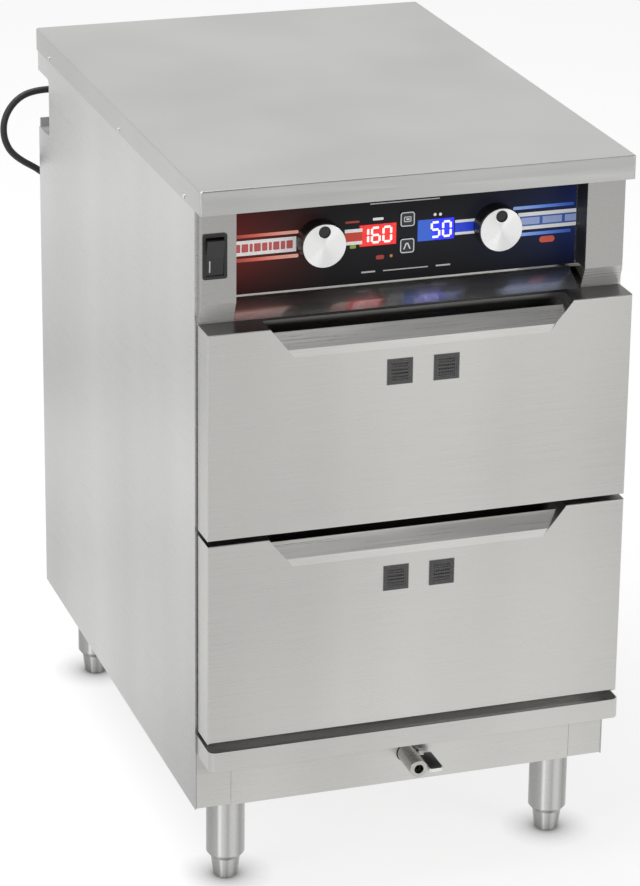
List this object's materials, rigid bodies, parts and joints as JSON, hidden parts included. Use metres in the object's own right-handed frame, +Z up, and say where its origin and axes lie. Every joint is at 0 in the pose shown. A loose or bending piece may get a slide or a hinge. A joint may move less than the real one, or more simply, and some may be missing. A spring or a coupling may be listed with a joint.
{
  "type": "countertop warming drawer cabinet",
  "caption": "Narrow stainless steel countertop warming cabinet: stacked drawers that hold deep food pans, a recessed control panel with knobs and displays, a drip gutter, a drain tap and legs.",
  "frame": {"origin": "bottom centre of the cabinet without its cord, on the floor under the feet", "axes": "+X to the right as seen from the front, +Y to the back, +Z up; the drawers open towards -Y"},
  "size_m": [0.5326, 0.867, 0.838],
  "materials": {
    "stainless": "brushed",
    "top_steel": "brushed",
    "inner_steel": "satin",
    "pan_steel": "satin",
    "insulation": "matt",
    "heater_rod": "oxidised",
    "pipe_brass": "satin",
    "bright_metal": "polished",
    "leg_metal": "satin",
    "seal": "matt",
    "panel": "gloss",
    "board": "satin",
    "red_glass": "gloss",
    "blue_glass": "gloss",
    "encoder_metal": "satin",
    "black_plastic": "satin",
    "button_plastic": "gloss",
    "cord_rubber": "satin",
    "tie_plastic": "matt"
  },
  "bodies": {
    "cabinet": {"air_heater": "heater_rod", "base_corner_posts": "stainless", "base_front_panel": "stainless", "base_pan": "inner_steel", "blue_display": "blue_glass", "cabinet_slides": "inner_steel", "casing_screws": "bright_metal", "cavity_liner": "inner_steel", "control_board": "board", "control_panel": "panel", "control_recess": "stainless", "cord_coil": "cord_rubber", "cord_run": "cord_rubber", "cord_tie": "tie_plastic", "drain_pipe": "pipe_brass", "drain_valve_body": "bright_metal", "drip_gutter": "stainless", "encoders": "encoder_metal", "face_frame": "inner_steel", "fascia": "stainless", "immersion_heater": "heater_rod", "insulation_blankets": "insulation", "left_side_panel": "stainless", "legs": "leg_metal", "power_plug": "cord_rubber", "rear_panel": "inner_steel", "recess_wall": "stainless", "red_display": "red_glass", "right_side_panel": "stainless", "rocker_housing": "black_plastic", "strain_relief": "cord_rubber", "terminal_block": "black_plastic", "top_panel": "top_steel", "water_level_probe": "heater_rod", "water_tank": "inner_steel"},
    "upper_drawer": {"upper_drawer_front": "stainless", "upper_drawer_core": "insulation", "upper_drawer_gasket": "seal", "upper_drawer_carriage": "inner_steel", "upper_vent_plates": "stainless", "upper_pan": "pan_steel"},
    "lower_drawer": {"lower_drawer_front": "stainless", "lower_drawer_core": "insulation", "lower_drawer_gasket": "seal", "lower_drawer_carriage": "inner_steel", "lower_vent_plates": "stainless", "lower_pan": "pan_steel"},
    "upper_slides": {"upper_middle_slides": "inner_steel"},
    "lower_slides": {"lower_middle_slides": "inner_steel"},
    "left_knob": {"left_knob": "black_plastic"},
    "right_knob": {"right_knob": "black_plastic"},
    "upper_button": {"upper_button": "button_plastic"},
    "lower_button": {"lower_button": "button_plastic"},
    "rocker": {"power_rocker": "black_plastic"},
    "drain_tap": {"drain_lever": "black_plastic", "drain_ball": "bright_metal"},
    "front_left_foot": {"front_left_foot": "leg_metal"},
    "front_right_foot": {"front_right_foot": "leg_metal"},
    "rear_left_foot": {"rear_left_foot": "leg_metal"},
    "rear_right_foot": {"rear_right_foot": "leg_metal"}
  },
  "joints": [
    {"name": "upper_drawer_slide", "type": "slide", "parent": "cabinet", "child": "upper_drawer", "axis": [0, -1, 0], "range_m": [0, 0.58]},
    {"name": "upper_middle_slide", "type": "slide", "parent": "cabinet", "child": "upper_slides", "axis": [0, -1, 0], "range_m": [0, 0.29]},
    {"name": "lower_drawer_slide", "type": "slide", "parent": "cabinet", "child": "lower_drawer", "axis": [0, -1, 0], "range_m": [0, 0.58]},
    {"name": "lower_middle_slide", "type": "slide", "parent": "cabinet", "child": "lower_slides", "axis": [0, -1, 0], "range_m": [0, 0.29]},
    {"name": "left_knob_turn", "type": "hinge", "parent": "cabinet", "child": "left_knob", "pos_m": [-0.0965, -0.2965, 0.7535], "axis": [0, -1, 0], "continuous": true},
    {"name": "right_knob_turn", "type": "hinge", "parent": "cabinet", "child": "right_knob", "pos_m": [0.1065, -0.2965, 0.7535], "axis": [0, -1, 0], "continuous": true},
    {"name": "upper_button_press", "type": "slide", "parent": "cabinet", "child": "upper_button", "axis": [0, 1, 0], "range_m": [0, 0.0008], "stiffness_N_per_m": 900},
    {"name": "lower_button_press", "type": "slide", "parent": "cabinet", "child": "lower_button", "axis": [0, 1, 0], "range_m": [0, 0.0008], "stiffness_N_per_m": 900},
    {"name": "power_rocker_tilt", "type": "hinge", "parent": "cabinet", "child": "rocker", "pos_m": [-0.2265, -0.3255, 0.7613], "axis": [1, 0, 0], "range_deg": [-20, 0]},
    {"name": "drain_lever_turn", "type": "hinge", "parent": "cabinet", "child": "drain_tap", "pos_m": [0.017, -0.3245, 0.1435], "axis": [1, 0, 0], "range_deg": [0, 90]},
    {"name": "front_left_foot_screw", "type": "slide", "parent": "cabinet", "child": "front_left_foot", "axis": [0, 0, -1], "range_m": [0, 0.02]},
    {"name": "front_right_foot_screw", "type": "slide", "parent": "cabinet", "child": "front_right_foot", "axis": [0, 0, -1], "range_m": [0, 0.02]},
    {"name": "rear_left_foot_screw", "type": "slide", "parent": "cabinet", "child": "rear_left_foot", "axis": [0, 0, -1], "range_m": [0, 0.02]},
    {"name": "rear_right_foot_screw", "type": "slide", "parent": "cabinet", "child": "rear_right_foot", "axis": [0, 0, -1], "range_m": [0, 0.02]}
  ],
  "couplings": [
    {"joint": "upper_middle_slide", "follows": "upper_drawer_slide", "ratio": 0.5},
    {"joint": "lower_middle_slide", "follows": "lower_drawer_slide", "ratio": 0.5}
  ]
}
